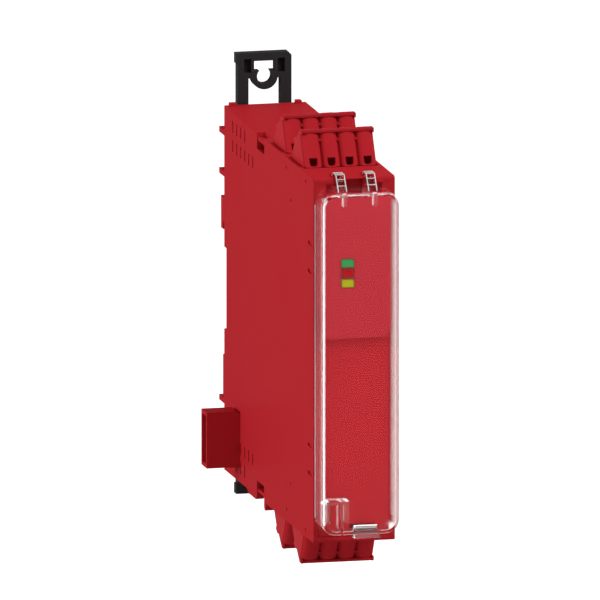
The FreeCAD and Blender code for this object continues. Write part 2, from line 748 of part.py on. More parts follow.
def make_clear_cover():
    """A tray moulded in one piece with two hinge arms, pins, a seal loop, a grip bar and a latch."""
    body = design("cover_body", "0", "-cover_gap", "0", FRONT_VIEW)
    edge = rounded_outline("cover_edge_line", ["-cover_width / 2", "cover_width / 2"],
                           ["cover_bottom", "cover_top"], "cover_corner", body)
    tray = pad(body, "cover_block", lay(edge, body), "cover_depth")
    bind(tray, "TaperAngle", "-cover_draft")
    depth = number("cover_depth")

    def front_rim(one):
        return all(abs(point.Point.z - depth) < 0.01 for point in one.Vertexes)
    round_edges(body, "cover_rim", tray, "cover_edge", front_rim)
    inside = rounded_outline("cover_hollow_line", ["-cover_width / 2 + cover_wall", "cover_width / 2 - cover_wall"],
                             ["cover_bottom + cover_wall", "cover_top - cover_wall"],
                             "cover_corner - cover_wall", body)
    hollow = pocket(body, "cover_hollow", lay(inside, body), "cover_depth - cover_wall")
    hollow.Reversed = True
    bind(hollow, "TaperAngle", "-cover_draft")

    added = [body]
    top = "housing_height + arm_rise"
    under = f"{top} - arm_thickness"
    for side, across in (("left", [f"-({ARM_OUTSIDE})", "-arm_inside"]), ("right", ["arm_inside", ARM_OUTSIDE])):
        arm = side_profile(f"arm_{side}", [
            ("-4.4", "cover_top - 0.5"), ("-arm_lean", top), ("hinge_setback - 0.6", top),
            ("hinge_setback + 0.9", f"{HINGE_HEIGHT} + 1.5"),
            ("hinge_setback + hinge_knuckle / 2", HINGE_HEIGHT), ("hinge_setback - hinge_knuckle / 2", HINGE_HEIGHT),
            ("hinge_setback - hinge_knuckle / 2", under), ("-arm_lean + 0.5", under), ("-2.9", "cover_top - 0.5")],
            across)
        knuckle = rod(f"knuckle_{side}", (across[0], "hinge_setback", HINGE_HEIGHT),
                      "hinge_knuckle / 2", "arm_width", ALONG_X)
        rib = box(f"arm_rib_{side}", [f"({across[0]} + {across[1]}) / 2 - 0.5", f"({across[0]} + {across[1]}) / 2 + 0.5"],
                  ["-cover_gap - cover_depth + cover_wall / 2", "-cover_gap - cover_depth + 3"],
                  ["cover_top - 4", "cover_top - 0.5"])
        added += [arm, knuckle, rib]
    for side, start in (("left", f"-({ARM_OUTSIDE}) - hinge_stub"), ("right", f"{ARM_OUTSIDE} - 0.2")):
        added.append(rod(f"hinge_pin_{side}", (start, "hinge_setback", HINGE_HEIGHT), "hinge_pin / 2",
                         "hinge_stub + 0.2", ALONG_X))
    inside = "-cover_gap - cover_depth + cover_wall / 2"
    loop_right = "loop_left + loop_width"
    loop_top = "loop_bottom + loop_height"
    for name, across, up in (("loop_left_wall", ["loop_left", "loop_left + loop_wall"], ["loop_bottom", loop_top]),
                             ("loop_right_wall", [f"{loop_right} - loop_wall", loop_right], ["loop_bottom", loop_top]),
                             ("loop_top_wall", ["loop_left", loop_right], [f"{loop_top} - loop_wall", loop_top]),
                             ("loop_rib", [f"{loop_right} - 2.4", f"{loop_right} - 1.8"],
                              ["cover_bottom + 0.5", loop_top])):
        added.append(box(name, across, [inside, "-cover_gap - 2.8"], up))
    added.append(rod("grip_bar", ("grip_left", "-cover_gap - cover_depth + grip_height / 2 + 0.1",
                                  "cover_bottom + 0.7 + grip_height / 2"), "grip_height / 2", "grip_width", ALONG_X))
    added.append(box("latch_tab", ["grip_left + 0.8", "grip_left + 0.8 + latch_width"],
                     ["-cover_gap - 5", "-cover_gap - 1"], ["cover_bottom - latch_drop", "cover_bottom + 0.3"]))
    return finished("clear_cover", fuse("clear_cover", added))


# ---- terminal blocks ----

def make_terminal_block(name, shift):
    """A pluggable block for the top of the housing: fluted front, lip, wire funnels and chambers."""
    def along(place):
        return f"block_front + {shift} + {place}"

    def up(place):
        return f"housing_height + {place}"
    half = "terminal_count * terminal_pitch / 2"
    slope = [("0.3", "-block_sink"), ("0.3", "-0.3"), ("0", "0"), ("front_lean", "column_top"),
             ("front_lean - lip_overhang", "block_height - lip_thickness"),
             ("front_lean - lip_overhang", "block_height"), ("front_lean + 0.5", "block_height"),
             ("front_lean + 4.0", "block_height - 3.0"), ("front_lean + 5.8", "block_height - 3.0"),
             ("front_lean + 7.6", "block_height - 4.0"), ("front_lean + 6.8", "block_height - 5.0"),
             ("block_thickness - 1.0", "0.9"), ("block_thickness", "0"), ("block_thickness", "-block_sink")]
    body = side_profile(name + "_block", [(along(y), up(z)) for y, z in slope], [f"-{half}", half])
    columns = []
    lean = "atan(front_lean / column_top)"
    flute = "(column_width ^ 2 / 4 + column_bulge ^ 2) / (2 * column_bulge)"
    taken = []
    for index in range(TERMINALS):
        middle = f"({index} - (terminal_count - 1) / 2) * terminal_pitch"
        column = rod(f"{name}_column_{index}", (middle, along(f"{flute} - column_bulge"), up("0")), flute,
                     f"(column_top + 0.6) / cos({lean})", Rotation(Vector(-1, 0, 0), 30))
        bind(column, ".Placement.Rotation.Angle", lean)
        columns.append(column)
        low = up("-0.3")
        arch = rod(f"{name}_arch_{index}", (middle, along("-3"), f"{low} + test_hole / 2"), "test_hole / 2",
                   "test_hole_depth + 3", ALONG_Y)
        square = box(f"{name}_test_{index}", [f"{middle} - test_hole / 2", f"{middle} + test_hole / 2"],
                     [along("-3"), along("test_hole_depth")],
                     [f"{low} + test_hole / 2", f"{low} + test_hole_height"])
        funnel = rod(f"{name}_wire_{index}", (middle, along("wire_hole_place"), up("-wire_hole_depth")),
                     "wire_hole / 2", "wire_hole_depth + block_height")
        release = box(f"{name}_release_{index}", [f"{middle} - release_width / 2", f"{middle} + release_width / 2"],
                      [along("release_place - release_thickness / 2"), along("release_place + release_thickness / 2")],
                      [up("release_depth"), up("block_height")])
        chamber = box(f"{name}_chamber_{index}", [f"{middle} - chamber_width / 2", f"{middle} + chamber_width / 2"],
                      [along("chamber_place - chamber_depth / 2"), along("chamber_place + chamber_depth / 2")],
                      [up("-block_sink - 1"), up("chamber_height - block_sink")])
        taken += [arch, square, funnel, release, chamber]
    for index in range(TERMINALS - 1):
        middle = f"({index} - (terminal_count - 2) / 2) * terminal_pitch"
        taken.append(box(f"{name}_lip_slot_{index}", [f"{middle} - lip_slot_width / 2", f"{middle} + lip_slot_width / 2"],
                         [along("front_lean - 0.1"), along("front_lean - 0.1 + lip_slot_depth")],
                         [up("column_top - 1.4"), up("block_height + 1")]))
    band = side_profile(name + "_band", [(along("-column_bulge - 1"), up("0")), (along("0.5"), up("0")),
                                         (along("front_lean + 0.5"), up("column_top")),
                                         (along("front_lean - column_bulge - 1"), up("column_top"))],
                        [f"-{half}", half])
    flutes = document.addObject("Part::Common", name + "_flutes")
    flutes.Base, flutes.Tool = fuse(name + "_columns", columns), band
    raw = cut(name + "_cut", fuse(name + "_raw", [body, flutes]), taken)
    bars = []
    for index in range(TERMINALS - 1):
        middle = f"({index} - (terminal_count - 2) / 2) * terminal_pitch"
        bars.append(box(f"{name}_bar_{index}", [f"{middle} - lip_slot_width / 2 - 0.2", f"{middle} + lip_slot_width / 2 + 0.2"],
                        [along("front_lean * 0.78 - 0.5"), along("front_lean * 0.78 + 1")],
                        [up("column_top * 0.78 - 0.35"), up("column_top * 0.78 + 0.35")]))
    return fuse(name + "_whole", [raw] + bars)


def make_contacts(name, shift):
    """Tulip sockets that grip the header pins, one in each chamber."""
    sockets = []
    for index in range(TERMINALS):
        middle = f"({index} - (terminal_count - 1) / 2) * terminal_pitch"
        grip = "(pin_size / 2 + pin_gap)"
        place = f"block_front + {shift} + chamber_place"
        low = "housing_height - block_sink + 0.4"
        outer = box(f"{name}_outer_{index}", [f"{middle} - {grip} - contact_wall", f"{middle} + {grip} + contact_wall"],
                    [f"{place} - 1.4", f"{place} + 1.4"], [low, f"{low} + contact_height"])
        bore = box(f"{name}_bore_{index}", [f"{middle} - {grip}", f"{middle} + {grip}"],
                   [f"{place} - {grip}", f"{place} + {grip}"], [f"{low} - 1", f"{low} + contact_height - 0.6"])
        sockets.append(cut(f"{name}_socket_{index}", outer, [bore]))
    return group(name + "_all", sockets)


def make_springs(name, shift):
    """Bent leaf springs that press the wires on their contacts."""
    springs = []
    for index in range(TERMINALS):
        middle = f"({index} - (terminal_count - 1) / 2) * terminal_pitch"
        start = f"block_front + {shift} + chamber_place - 1.4"
        low = "housing_height - block_sink + 0.4 + contact_height"
        step = "spring_thickness"
        leaf = [(start, low), (f"{start} + {step}", low), (f"{start} + {step}", f"{low} + 1.1"),
                (f"{start} + spring_reach - {step}", f"{low} + 1.1"),
                (f"{start} + spring_reach - {step}", f"{low} - 3"), (f"{start} + spring_reach", f"{low} - 3"),
                (f"{start} + spring_reach", f"{low} + 1.1 + {step}"), (start, f"{low} + 1.1 + {step}")]
        springs.append(side_profile(f"{name}_leaf_{index}", leaf, [f"{middle} - 1.2", f"{middle} + 1.2"]))
    return group(name + "_all", springs)


def make_header(name, shift):
    """A pin strip that stands on the terminal board and reaches through the well's floor."""
    floor = "housing_height - pocket_depth"
    place = f"block_front + {shift} + chamber_place"
    half = "terminal_count * terminal_pitch / 2"
    base = box(name + "_base", [f"-{half} + 1", f"{half} - 1"], [f"{place} - 1.8", f"{place} + 1.8"],
               [f"{floor} - pocket_floor - header_base", f"{floor} - pocket_floor"])
    pins = []
    for index in range(TERMINALS):
        middle = f"({index} - (terminal_count - 1) / 2) * terminal_pitch"
        pins.append(box(f"{name}_pin_{index}", [f"{middle} - pin_size / 2", f"{middle} + pin_size / 2"],
                        [f"{place} - pin_size / 2", f"{place} + pin_size / 2"],
                        [f"{floor} - pocket_floor - header_base - board_thickness", f"{floor} + pin_height - 1"]))
    return fuse(name + "_whole", [base] + pins)


def make_terminals():
    """Two rows at the top, and their mirror images at the bottom."""
    down = Vector(0, 0, 1)
    for row, shift in ROWS:
        for part, make in (("block", make_terminal_block), ("contacts", make_contacts),
                           ("springs", make_springs), ("header", make_header)):
            upper = make(f"top_{row}_{part}", shift)
            finished(f"top_{row}_{part}", upper)
            finished(f"bottom_{row}_{part}", mirrored(f"bottom_{row}_{part}_copy", upper, down))


# ---- extension bus ----

def make_extension():
    """The block that plugs into the module on the left, and the socket for the one on the right."""
    along = ["link_front", "link_front + link_thickness"]
    up = ["link_bottom", "link_bottom + link_height"]
    block = box("link_block", [f"{LEFT} - link_reach", f"{LEFT} + link_inside"], along, up)
    finished("extension_connector", block)
    wall = ["link_front - socket_gap - socket_wall", "link_front + link_thickness + socket_gap + socket_wall"]
    level = ["shell_wall + 0.1", "link_bottom + link_height + socket_gap + socket_wall"]
    shroud = box("socket_shroud", [f"{RIGHT} - socket_depth - socket_wall", f"{LID_INSIDE} - 0.05"], wall, level)
    space = box("socket_space", [f"{RIGHT} - socket_depth", RIGHT],
                ["link_front - socket_gap", "link_front + link_thickness + socket_gap"],
                ["link_bottom - socket_gap", "link_bottom + link_height + socket_gap"])
    finished("extension_socket", cut("extension_socket", shroud, [space]))


# ---- inside ----

def make_boards():
    """The main board along the left wall and the two terminal boards across it."""
    gap = "board_gap"
    rear = "housing_depth - relief_depth - shell_wall - board_gap"
    before = "link_front - 1"
    behind = f"{POCKET_REAR} + pocket_floor + board_gap"
    foot = "notch_height + board_gap + 1"
    low = "pocket_depth + pocket_floor + header_base + board_gap"
    high = f"housing_height - ({low})"
    edge = [("9", low), (behind, low), (behind, foot), (before, foot),
            (before, "link_bottom + link_height + 1"), (rear, "link_bottom + link_height + 1"),
            (rear, f"housing_height - ({foot})"), (behind, f"housing_height - ({foot})"), (behind, high), ("9", high)]
    finished("main_board", side_profile("main_board", edge, ["board_place", "board_place + board_thickness"]))
    floor = "housing_height - pocket_depth - pocket_floor - header_base"
    board = box("upper_board", ["board_place + board_thickness", "module_width / 2 - lid_thickness - 0.3"],
                [POCKET_FRONT, f"{POCKET_REAR} - 1"], [f"{floor} - board_thickness", floor])
    holes = []
    for row, shift in ROWS:
        for index in range(TERMINALS):
            middle = f"({index} - (terminal_count - 1) / 2) * terminal_pitch"
            place = f"block_front + {shift} + chamber_place"
            holes.append(box(f"upper_board_hole_{row}_{index}",
                             [f"{middle} - pin_size / 2", f"{middle} + pin_size / 2"],
                             [f"{place} - pin_size / 2", f"{place} + pin_size / 2"],
                             [f"{floor} - board_thickness - 1", f"{floor} + 1"]))
    upper = cut("upper_terminal_board", board, holes)
    finished("upper_terminal_board", upper)
    finished("lower_terminal_board", mirrored("lower_terminal_board", upper, Vector(0, 0, 1)))


def make_components():
    """Two relays, the supply transformer, two capacitors and the three lamps on the main board."""
    face = "board_place + board_thickness"
    for name, low in (("upper_relay", "rail_centre + relay_gap / 2"),
                      ("lower_relay", "rail_centre - relay_gap / 2 - relay_length")):
        finished(name, box(name, [face, f"{face} + relay_width"],
                           ["relay_front", "relay_front + relay_depth"], [low, f"{low} + relay_length"]))
    core = box("coil_core", [face, f"{face} + 12"], ["coil_front", "coil_front + coil_size"],
               ["rail_centre - coil_size / 2", "rail_centre + coil_size / 2"])
    winding = box("coil_winding", [face, f"{face} + 10"], ["coil_front - 2", "coil_front + coil_size + 2"],
                  ["rail_centre - coil_size / 2 + 3", "rail_centre + coil_size / 2 - 3"])
    finished("transformer", fuse("transformer", [core, winding]))
    for name, up in (("upper_capacitor", "rail_centre + 20"), ("lower_capacitor", "rail_centre - 20")):
        finished(name, rod(name, (face, "coil_front + 8", up), "capacitor_width / 2", "capacitor_length", ALONG_X))
    lamps = []
    for index in (-1, 0, 1):
        middle = f"window_middle + {index} * window_pitch"
        lamps.append(box(f"lamp_{index + 1}", ["window_left + 0.4", "window_left + window_width - 0.4"],
                         ["6.3", "7.1"], [f"{middle} - 0.8", f"{middle} + 0.8"]))
    strip = box("lamp_strip", [face, "window_left + window_width"], ["7.1", "8.3"],
                ["window_middle - 6", "window_middle + 6"])
    finished("lamp_board", fuse("lamp_board", lamps + [strip]))


make_main_shell()
make_side_cover()
make_front_panel()
make_label_plate()
make_light_pipes()
make_tab("upper_tab", "tab_lift", False)
make_tab("lower_foot", "foot_drop", True)
make_clear_cover()
make_terminals()
make_extension()
make_boards()
make_components()
document.recompute()

for thing in document.Objects:
    if "Invalid" in thing.State or "Error" in thing.State:
        raise RuntimeError(f"{thing.Name} has failed: {thing.State}")
os.makedirs("parts", exist_ok=True)
facets = 0
for name, part in subparts.items():
    shape = part.Shape
    if shape.isNull() or not shape.isValid():
        raise RuntimeError(f"{name} has no valid shape")
    shape.exportStep(f"parts/{name}.step")
    facets += len(shape.tessellate(0.1)[1])
    print(f"{name}: {len(shape.Solids)} solid(s), {shape.Volume:.1f} mm3, {len(shape.tessellate(0.1)[1])} facets")
print(f"{len(subparts)} nodes, {facets} facets")
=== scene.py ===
import json
import math
import bmesh
import bpy
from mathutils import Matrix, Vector

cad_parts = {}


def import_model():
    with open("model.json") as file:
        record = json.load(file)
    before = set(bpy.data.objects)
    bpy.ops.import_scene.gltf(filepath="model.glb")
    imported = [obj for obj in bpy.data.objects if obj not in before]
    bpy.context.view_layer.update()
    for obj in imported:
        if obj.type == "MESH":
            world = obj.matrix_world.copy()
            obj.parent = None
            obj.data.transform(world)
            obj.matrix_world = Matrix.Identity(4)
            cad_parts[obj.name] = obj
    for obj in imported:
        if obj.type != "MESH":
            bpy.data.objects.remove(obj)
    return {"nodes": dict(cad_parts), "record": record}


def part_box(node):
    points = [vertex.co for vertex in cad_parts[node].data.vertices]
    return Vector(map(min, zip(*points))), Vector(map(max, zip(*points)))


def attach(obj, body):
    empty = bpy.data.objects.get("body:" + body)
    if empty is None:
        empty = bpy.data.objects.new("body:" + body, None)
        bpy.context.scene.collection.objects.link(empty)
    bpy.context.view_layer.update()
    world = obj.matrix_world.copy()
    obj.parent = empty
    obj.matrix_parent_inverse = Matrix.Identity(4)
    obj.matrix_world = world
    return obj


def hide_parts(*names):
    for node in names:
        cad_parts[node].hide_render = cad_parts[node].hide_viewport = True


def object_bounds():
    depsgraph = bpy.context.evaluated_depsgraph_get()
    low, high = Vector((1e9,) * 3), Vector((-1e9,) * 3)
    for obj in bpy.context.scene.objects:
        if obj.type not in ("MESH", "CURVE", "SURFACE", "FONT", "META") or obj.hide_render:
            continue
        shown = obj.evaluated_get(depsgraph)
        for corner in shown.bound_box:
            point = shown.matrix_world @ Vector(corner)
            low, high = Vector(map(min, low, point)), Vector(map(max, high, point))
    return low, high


# The looks of a slim red safety relay module with a clear hinged cover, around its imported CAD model.
# X runs across the module, -Y is its front and Z is up. Blender's lengths are metres. The pieces are
# laid out in mm, from the boxes of the solids that they belong to.

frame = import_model()
cad_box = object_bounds()
scene = bpy.context.scene
MM = 0.001


def linear(red, green, blue):
    """A colour from its 0 to 255 display values."""
    values = []
    for part in (red, green, blue):
        share = part / 255
        values.append(share / 12.92 if share <= 0.04045 else ((share + 0.055) / 1.055) ** 2.4)
    return (*values, 1.0)


def scaled(colour, factor):
    """The same colour, lighter or darker."""
    return tuple(part * factor for part in colour[:3]) + (1.0,)


def grey(level):
    """A colour without hue."""
    return (level, level, level, 1.0)


# ---- shader nodes ----

def new_material(name):
    """A material with its nodes, its links and its shader."""
    material = bpy.data.materials.new(name)
    material.use_nodes = True
    nodes = material.node_tree.nodes
    shader = nodes["Principled BSDF"]
    return material, nodes, material.node_tree.links, shader


def add_noise(nodes, links, scale, detail=2.0):
    """A share from 0 to 1 that wanders in the piece's own coordinates."""
    place = nodes.new("ShaderNodeTexCoord")
    noise = nodes.new("ShaderNodeTexNoise")
    noise.inputs["Scale"].default_value = scale
    noise.inputs["Detail"].default_value = detail
    links.new(place.outputs["Object"], noise.inputs["Vector"])
    return noise.outputs["Fac"]


def add_math(nodes, links, operation, first, second=None):
    """A math node whose inputs are other nodes' outputs or plain numbers."""
    node = nodes.new("ShaderNodeMath")
    node.operation = operation
    for socket, value in zip(node.inputs, (first, second)):
        if isinstance(value, (int, float)):
            socket.default_value = value
        elif value is not None:
            links.new(value, socket)
    return node.outputs["Value"]


def add_sum(nodes, links, start, shares):
    """A number plus each share times its weight."""
    total = None
    for share, weight in shares:
        part = add_math(nodes, links, "MULTIPLY", share, weight)
        total = part if total is None else add_math(nodes, links, "ADD", total, part)
    return add_math(nodes, links, "ADD", total, start)


def step(nodes, links, value, ends):
    """Rises from 0 to 1 as a length goes from the first end, in mm, to the second."""
    ramp = nodes.new("ShaderNodeMapRange")
    ramp.inputs["From Min"].default_value = ends[0] * MM
    ramp.inputs["From Max"].default_value = ends[1] * MM
    links.new(value, ramp.inputs["Value"])
    return ramp.outputs["Result"]


def between(nodes, links, share, low, high):
    """The number that lies that share of the way from low to high."""
    ramp = nodes.new("ShaderNodeMapRange")
    ramp.inputs["To Min"].default_value = low
    ramp.inputs["To Max"].default_value = high
    links.new(share, ramp.inputs["Value"])
    return ramp.outputs["Result"]


def blend(nodes, links, share, low, high):
    """The colour that lies that share of the way from low to high."""
    mix = nodes.new("ShaderNodeMix")
    mix.data_type = "RGBA"
    mix.inputs["A"].default_value = low
    mix.inputs["B"].default_value = high
    links.new(share, mix.inputs["Factor"])
    return mix.outputs["Result"]


# ---- materials ----

GRAIN_DEPTH = 0.05 * MM

# The cover's refractive index, and what its coated front sheet, thin sides and bent arms take off it and
# off an alpha of 1.
CLEAR_INDEX = 1.5
SHEET_INDEX, SIDE_INDEX, ARM_INDEX = -0.32, -0.38, -0.34
SHEET_ALPHA, SIDE_ALPHA, ARM_ALPHA = -0.46, -0.62, -0.68

# The gaps in mm from the ends of the side faces to the tray's ends.
TRAY_BELOW, TRAY_ABOVE = 3.0, 2.6

# Where each zone of the tray begins and ends, in mm in from its outline and back from its front.
MIDDLE_INSET, SIDE_INSET, OUTSIDE_INSET = (0.8, 1.0), (1.7, 1.4), (-0.2, 0.0)
SHEET_DEPTH, SIDE_DEPTH, RIM_DEPTH = (1.3, 1.1), (1.7, 2.0), (8.0, 7.8)


def moulded(name, colour, roughness=0.5, edge=0.25):
    """Moulded plastic: a fine eroded grain, slightly uneven colour and gloss, and softly rounded edges."""
    material, nodes, links, shader = new_material(name)
    shader.inputs["Specular IOR Level"].default_value = 0.002
    broad = add_noise(nodes, links, 60.0, 3.0)
    fine = add_noise(nodes, links, 2600.0)
    tint = blend(nodes, links, broad, scaled(colour, 0.97), scaled(colour, 1.03))
    links.new(tint, shader.inputs["Base Color"])
    gloss = between(nodes, links, broad, roughness - 0.05, roughness + 0.06)
    links.new(gloss, shader.inputs["Roughness"])
    rounded = nodes.new("ShaderNodeBevel")
    rounded.samples = 4
    rounded.inputs["Radius"].default_value = edge * MM
    bump = nodes.new("ShaderNodeBump")
    bump.inputs["Strength"].default_value = 0.05
    bump.inputs["Distance"].default_value = GRAIN_DEPTH
    links.new(fine, bump.inputs["Height"])
    links.new(rounded.outputs["Normal"], bump.inputs["Normal"])
    links.new(bump.outputs["Normal"], shader.inputs["Normal"])
    return material


def cover_zones(nodes, links):
    """Shares from 0 to 1 for the flat front, the sides, the sides less their rim, the bends and the arms."""
    cover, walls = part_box("clear_cover"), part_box("side_cover")
    bottom = walls[0].z + TRAY_BELOW * MM
    top = walls[1].z - TRAY_ABOVE * MM
    place = nodes.new("ShaderNodeTexCoord")
    split = nodes.new("ShaderNodeSeparateXYZ")
    links.new(place.outputs["Object"], split.inputs["Vector"])
    x, y, z = (split.outputs[axis] for axis in "XYZ")

    inset_across = add_math(nodes, links, "SUBTRACT", cover[1].x, add_math(nodes, links, "ABSOLUTE", x))
    off_middle = add_math(nodes, links, "SUBTRACT", z, (bottom + top) / 2)
    inset_up = add_math(nodes, links, "SUBTRACT", (top - bottom) / 2,
                        add_math(nodes, links, "ABSOLUTE", off_middle))
    inset = add_math(nodes, links, "MINIMUM", inset_across, inset_up)
    depth = add_math(nodes, links, "SUBTRACT", y, cover[0].y)
    above = add_math(nodes, links, "SUBTRACT", z, top)

    flat = add_math(nodes, links, "MULTIPLY", step(nodes, links, inset, MIDDLE_INSET),
                    step(nodes, links, depth, SHEET_DEPTH))
    wall = add_math(nodes, links, "MULTIPLY", step(nodes, links, depth, SIDE_DEPTH),
                    step(nodes, links, inset, SIDE_INSET))
    side = add_math(nodes, links, "MULTIPLY", wall, step(nodes, links, inset, OUTSIDE_INSET))
    thin = add_math(nodes, links, "MULTIPLY", side, step(nodes, links, depth, RIM_DEPTH))
    bent = step(nodes, links, above, (0.0, 0.3))
    arms = step(nodes, links, above, (-0.3, 0.2))
    return flat, side, thin, bent, arms


def clear(name, tint):
    """Clear polycarbonate. Its flat front is coated against glare, and its side walls and arms are thin."""
    material, nodes, links, shader = new_material(name)
    shader.inputs["Base Color"].default_value = tint
    shader.inputs["Transmission Weight"].default_value = 1.0
    shader.inputs["IOR"].default_value = CLEAR_INDEX
    flat, side, thin, bent, arms = cover_zones(nodes, links)
    bends = [(thin, SIDE_INDEX), (flat, SHEET_INDEX), (bent, ARM_INDEX)]
    links.new(add_sum(nodes, links, CLEAR_INDEX, bends), shader.inputs["IOR"])
    veils = [(flat, SHEET_ALPHA), (side, SIDE_ALPHA), (arms, ARM_ALPHA)]
    links.new(add_sum(nodes, links, 1.0, veils), shader.inputs["Alpha"])
    gloss = between(nodes, links, add_noise(nodes, links, 300.0), 0.0, 0.02)
    links.new(gloss, shader.inputs["Roughness"])
    return material


def painted_light_material(name, shade):
    """A grey, partly clear material for thin strips on the clear cover: painted highlights where its given
    level is pale, painted shade where it is dark.
    """
    material, nodes, links, shader = new_material(name)
    uneven = add_noise(nodes, links, 1200.0)
    links.new(blend(nodes, links, uneven, grey(shade * 0.8), grey(shade)), shader.inputs["Base Color"])
    shader.inputs["Transmission Weight"].default_value = 0.3
    shader.inputs["Roughness"].default_value = 0.4
    return material


def lens(name, colour, glow):
    """A tinted light window, lit a little from behind."""
    material, nodes, links, shader = new_material(name)
    soft = add_noise(nodes, links, 900.0, 1.0)
    tint = blend(nodes, links, soft, scaled(colour, 0.85), colour)
    links.new(tint, shader.inputs["Base Color"])
    links.new(tint, shader.inputs["Emission Color"])
    shader.inputs["Emission Strength"].default_value = glow
    shader.inputs["Specular IOR Level"].default_value = 0.03
    shader.inputs["Roughness"].default_value = 0.3
    return material


def metal(name, colour, roughness):
    """Stamped or drawn metal with a fine brushed unevenness."""
    material, nodes, links, shader = new_material(name)
    shader.inputs["Metallic"].default_value = 1.0
    streaks = add_noise(nodes, links, 1500.0, 3.0)
    links.new(blend(nodes, links, streaks, scaled(colour, 0.8), colour), shader.inputs["Base Color"])
    gloss = between(nodes, links, streaks, roughness * 0.7, roughness * 1.3)
    links.new(gloss, shader.inputs["Roughness"])
    return material


looks = {
    "red_plastic": moulded("red_plastic_look", linear(181, 36, 43)),
    "panel_plastic": moulded("panel_plastic_look", linear(182, 44, 54)),
    # The plugs' red is a little lighter than the housing's: painted light that makes up for the lamp light
    # their slanted fronts lack.
    "plug_plastic": moulded("plug_plastic_look", linear(185, 38, 46), roughness=0.38, edge=0.3),
    "black_plastic": moulded("black_plastic_look", linear(50, 50, 51)),
    "clear_plastic": clear("clear_plastic_look", (0.97, 0.98, 0.98, 1.0)),
    "green_lens": lens("green_lens_look", linear(52, 150, 76), 0.04),
    "red_lens": lens("red_lens_look", linear(176, 8, 18), 0.03),
    "yellow_lens": lens("yellow_lens_look", linear(168, 168, 14), 0.04),
    "contact_metal": metal("contact_metal_look", linear(205, 200, 185), 0.35),
    "spring_steel": metal("spring_steel_look", linear(190, 192, 196), 0.25),
    "board_laminate": moulded("board_laminate_look", linear(20, 92, 52), roughness=0.35),
    "relay_case": moulded("relay_case_look", linear(40, 42, 46), roughness=0.3),
    "coil_core": metal("coil_core_look", linear(120, 118, 116), 0.5),
    "capacitor_can": metal("capacitor_can_look", linear(185, 187, 190), 0.3),
}


def dress_nodes():
    """Give each CAD node the look of its record slot."""
    slots = {entry["node"]: entry["material_slot"] for entry in frame["record"]["subparts"]}
    for name, node in frame["nodes"].items():
        for slot in node.material_slots:
            slot.material = looks[slots[name]]


# ---- making pieces ----

def box_mm(node):
    """The two opposite corners of a CAD node, in mm."""
    return [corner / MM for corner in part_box(node)]


def arc(count, end):
    """Angles in equal steps from 0 to the end."""
    return [end * index / count for index in range(count + 1)]


def span(side, low, high):
    """A range of heights in rising order, over the module for side 1 and mirrored under it for side -1."""
    return sorted((side * low, side * high))


def prism(build, ring, shift):
    """Add a closed prism to a mesh under construction: a ring of points in mm, repeated after the shift."""
    near = [build.verts.new(Vector(point) * MM) for point in ring]
    far = [build.verts.new((Vector(point) + Vector(shift)) * MM) for point in ring]
    build.faces.new(near)
    build.faces.new(far)
    for index in range(len(ring)):
        after = (index + 1) % len(ring)
        build.faces.new((near[index], near[after], far[after], far[index]))


def bar(build, across, along, up):
    """Add a box to a mesh under construction, from its ranges in mm."""
    left, right = across
    front, back = along
    ring = [(left, front, up[0]), (right, front, up[0]), (right, back, up[0]), (left, back, up[0])]
    prism(build, ring, (0, 0, up[1] - up[0]))


def solid(name, fill):
    """A new object with the mesh that the given function fills."""
    build = bmesh.new()
    fill(build)
    bmesh.ops.recalc_face_normals(build, faces=build.faces)
    mesh = bpy.data.meshes.new(name)
    build.to_mesh(mesh)
    build.free()
    piece = bpy.data.objects.new(name, mesh)
    scene.collection.objects.link(piece)
    return piece


def pierce(piece, cutter):
    """Cut one object out of another and drop it."""
    change = piece.modifiers.new("cut", "BOOLEAN")
    change.operation = "DIFFERENCE"
    change.solver = "EXACT"
    change.object = cutter
    bpy.context.view_layer.update()
    shape = bpy.data.meshes.new_from_object(piece.evaluated_get(bpy.context.evaluated_depsgraph_get()))
    piece.modifiers.clear()
    piece.data = shape
    bpy.data.objects.remove(cutter)


def finish_piece(piece, body, slot, look=None):
    """Give a piece its finish and let it move with a body."""
    piece.data.materials.clear()
    piece.data.materials.append(look or looks[slot])
    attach(piece, body)


# ---- terminal blocks ----

# From here to the stage, lengths are in mm, and a pair of depths is a form's front and back, measured back
# from the surface that carries it.
FACE = box_mm("side_cover")[1].z       # height of the shell's top face, and of its mirrored bottom face

WAYS = 4                               # terminals in a block
FOOT_DEPTH = 15.3                      # from a block's back to the foot of its slanted front
LEAN = 4.85 / 8.4                      # how far the slanted front goes back for each mm up
COLUMN_FOOT = FACE + 0.05
COLUMN_GAP = 0.15                      # from a column's side to the middle between two
COLUMN_BULGE, COLUMN_ROOT = 1.6, 0.4   # how far it stands out, and how far it reaches in
COLUMN_FACETS = 14

TEST_HOLE_RADIUS, TEST_HOLE_REACH = 1.08, 4
TEST_HOLE_FACETS = 8
TEST_HOLE_ARCH, TEST_HOLE_SILL = FACE + 1.25, FACE + 2.45

# Drops are measured down from the block's tip.
COLUMN_DROP = 0.75
LIP_DROPS, LIP_DEPTHS = (0.8, 0.1), (-1.75, 0.2)
EAR_DROPS, EAR_DEPTHS, EAR_WIDTH, EAR_PROUD = (1.3, 0.05), (-1.8, -0.2), 0.5, 0.05

WEB_LEVEL, WEB_HALF_HEIGHT, WEB_HALF_WIDTH, WEB_DEPTHS = FACE + 6.7, 0.35, 1.0, (-0.95, 0.3)


